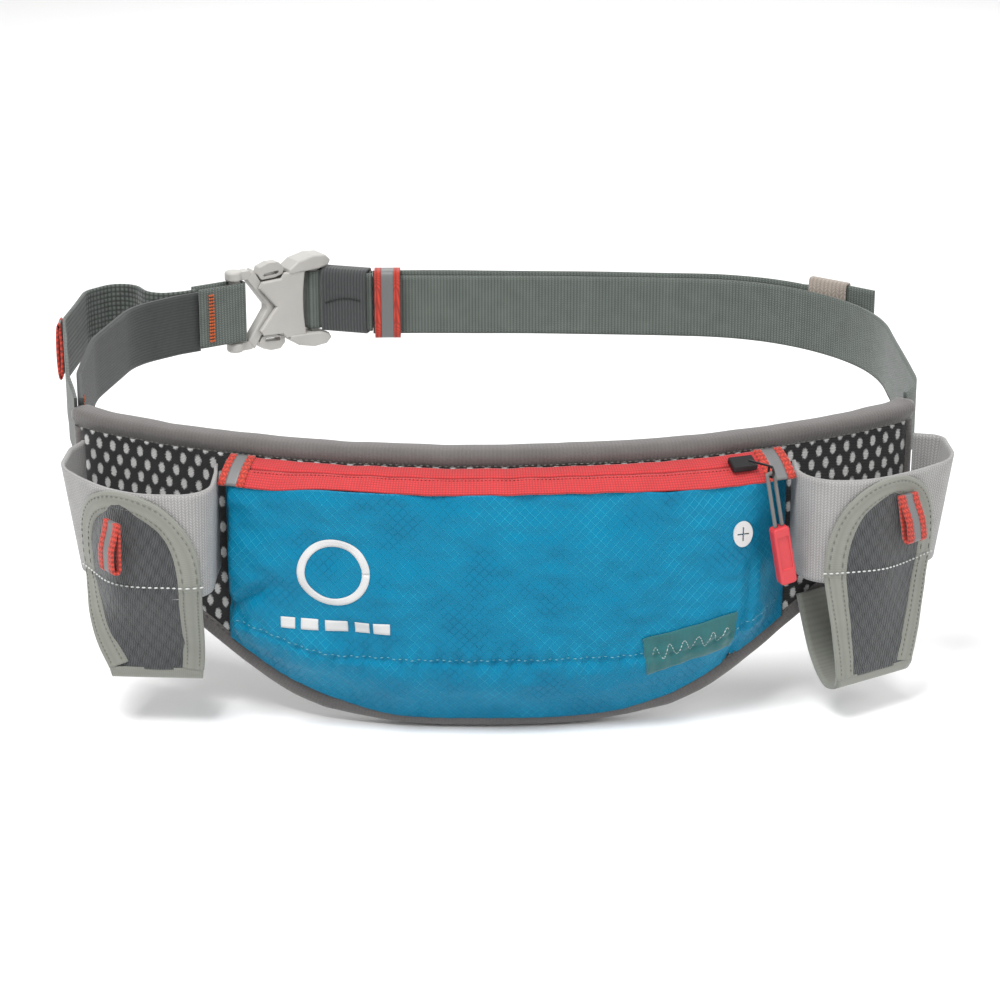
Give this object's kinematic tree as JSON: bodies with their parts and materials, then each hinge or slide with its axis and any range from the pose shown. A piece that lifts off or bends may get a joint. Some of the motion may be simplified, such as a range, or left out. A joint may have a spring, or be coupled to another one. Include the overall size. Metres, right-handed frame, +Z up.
{
  "type": "waist pack",
  "caption": "Padded waist pack with a zipped ripstop pocket, open bottle holsters and a webbing belt closed by a side-release buckle.",
  "frame": {"origin": "centre of the waist loop, at the middle of the belt webbing", "axes": "+Z up, the pocket faces -Y, the buckle is at the back towards -X"},
  "size_m": [0.4054, 0.3052, 0.1405],
  "materials": {
    "foam": "soft closed-cell foam",
    "mesh_fabric": "knitted mesh",
    "binding": "brushed jersey",
    "ripstop": "glossy nylon ripstop",
    "zip_fabric": "woven tape",
    "zip_nylon": "nylon coil",
    "reflective": "reflective tape with woven edges",
    "port_rubber": "smooth",
    "label_fabric": "woven satin",
    "elastic": "woven elastic",
    "webbing": "ribbed webbing",
    "keeper_elastic": "ribbed elastic",
    "buckle_plastic": "moulded acetal",
    "dark_elastic": "smooth elastic",
    "zip_metal": "dark enamel",
    "pull_cord": "braided cord",
    "pull_rubber": "soft moulded"
  },
  "bodies": {
    "panel": {"back_panel_foam": "foam", "panel_mesh_face": "mesh_fabric", "panel_lining": "mesh_fabric", "top_binding": "binding", "bottom_binding": "binding", "end_binding_left": "binding", "end_binding_right": "binding", "pocket_front": "ripstop", "pocket_gusset": "ripstop", "zip_tape_upper": "zip_fabric", "zip_tape_lower": "zip_fabric", "zip_coil": "zip_nylon", "zip_end_tab_left": "reflective", "zip_end_tab_right": "reflective", "headphone_port": "port_rubber", "fabric_label": "label_fabric", "holster_elastic_left": "elastic", "holster_elastic_right": "elastic", "holster_tongue_left": "mesh_fabric", "holster_tongue_right": "mesh_fabric", "holster_binding_left": "webbing", "holster_binding_right": "webbing", "holster_strap_left": "webbing", "holster_strap_right": "webbing", "belt_webbing": "webbing", "webbing_tail": "webbing", "tail_hem": "webbing", "tail_keeper": "keeper_elastic", "belt_fold": "webbing", "buckle_female": "buckle_plastic", "left_elastic_strap": "dark_elastic", "left_limiter_webbing": "webbing", "left_reflective_loop": "reflective", "sleeve_keeper": "dark_elastic"},
    "zip_slider_body": {"zip_slider": "zip_metal", "zip_tab": "zip_metal"},
    "zip_pull": {"zip_pull_cord": "pull_cord", "zip_pull_grip": "pull_rubber"},
    "finger_loop_left_body": {"finger_loop_left": "reflective"},
    "finger_loop_right_body": {"finger_loop_right": "reflective"},
    "keepers": {"reflective_keeper": "reflective"},
    "buckle_male_body": {"buckle_male": "buckle_plastic", "male_webbing_loop": "webbing"},
    "prong_upper": {"buckle_prong_upper": "buckle_plastic"},
    "prong_lower": {"buckle_prong_lower": "buckle_plastic"}
  },
  "joints": [
    {"name": "zip_travel", "type": "hinge", "parent": "panel", "child": "zip_slider_body", "pos_m": [0, 0.184, 0], "axis": [0, 0, 1], "range_deg": [-36.4, 0]},
    {"name": "pull_lift", "type": "hinge", "parent": "zip_slider_body", "child": "zip_pull", "pos_m": [0.11471, -0.13341, 0.0024], "axis": [-0.9405, -0.3399, 0], "range_deg": [0, 80]},
    {"name": "finger_loop_left_lift", "type": "hinge", "parent": "panel", "child": "finger_loop_left_body", "pos_m": [-0.16432, -0.14334, -0.012], "axis": [-0.6124, 0.7905, 0], "range_deg": [0, 80]},
    {"name": "finger_loop_right_lift", "type": "hinge", "parent": "panel", "child": "finger_loop_right_body", "pos_m": [0.17861, -0.12138, -0.011], "axis": [-0.8048, -0.5935, 0], "range_deg": [0, 80]},
    {"name": "keeper_slide", "type": "hinge", "parent": "panel", "child": "keepers", "pos_m": [-0.06, -1.3599, 0], "axis": [0, 0, 1], "range_deg": [-2.3, 0]},
    {"name": "buckle_release", "type": "slide", "parent": "panel", "child": "buckle_male_body", "axis": [-0.848, -0.5299, 0], "range_m": [0, 0.015], "deforming": ["buckle_prong_upper", "buckle_prong_lower", "male_webbing_loop"]},
    {"name": "prong_upper_flex", "type": "hinge", "parent": "buckle_male_body", "child": "prong_upper", "pos_m": [-0.11439, 0.12988, 0.016], "axis": [-0.5299, 0.848, 0], "range_deg": [0, 10], "stiffness_Nm_per_rad": 0.06},
    {"name": "prong_lower_flex", "type": "hinge", "parent": "buckle_male_body", "child": "prong_lower", "pos_m": [-0.11439, 0.12988, -0.012], "axis": [-0.5299, 0.848, 0], "range_deg": [-10, 0], "stiffness_Nm_per_rad": 0.06}
  ],
  "couplings": [
    {"joint": "prong_lower_flex", "follows": "prong_upper_flex", "ratio": -1}
  ]
}
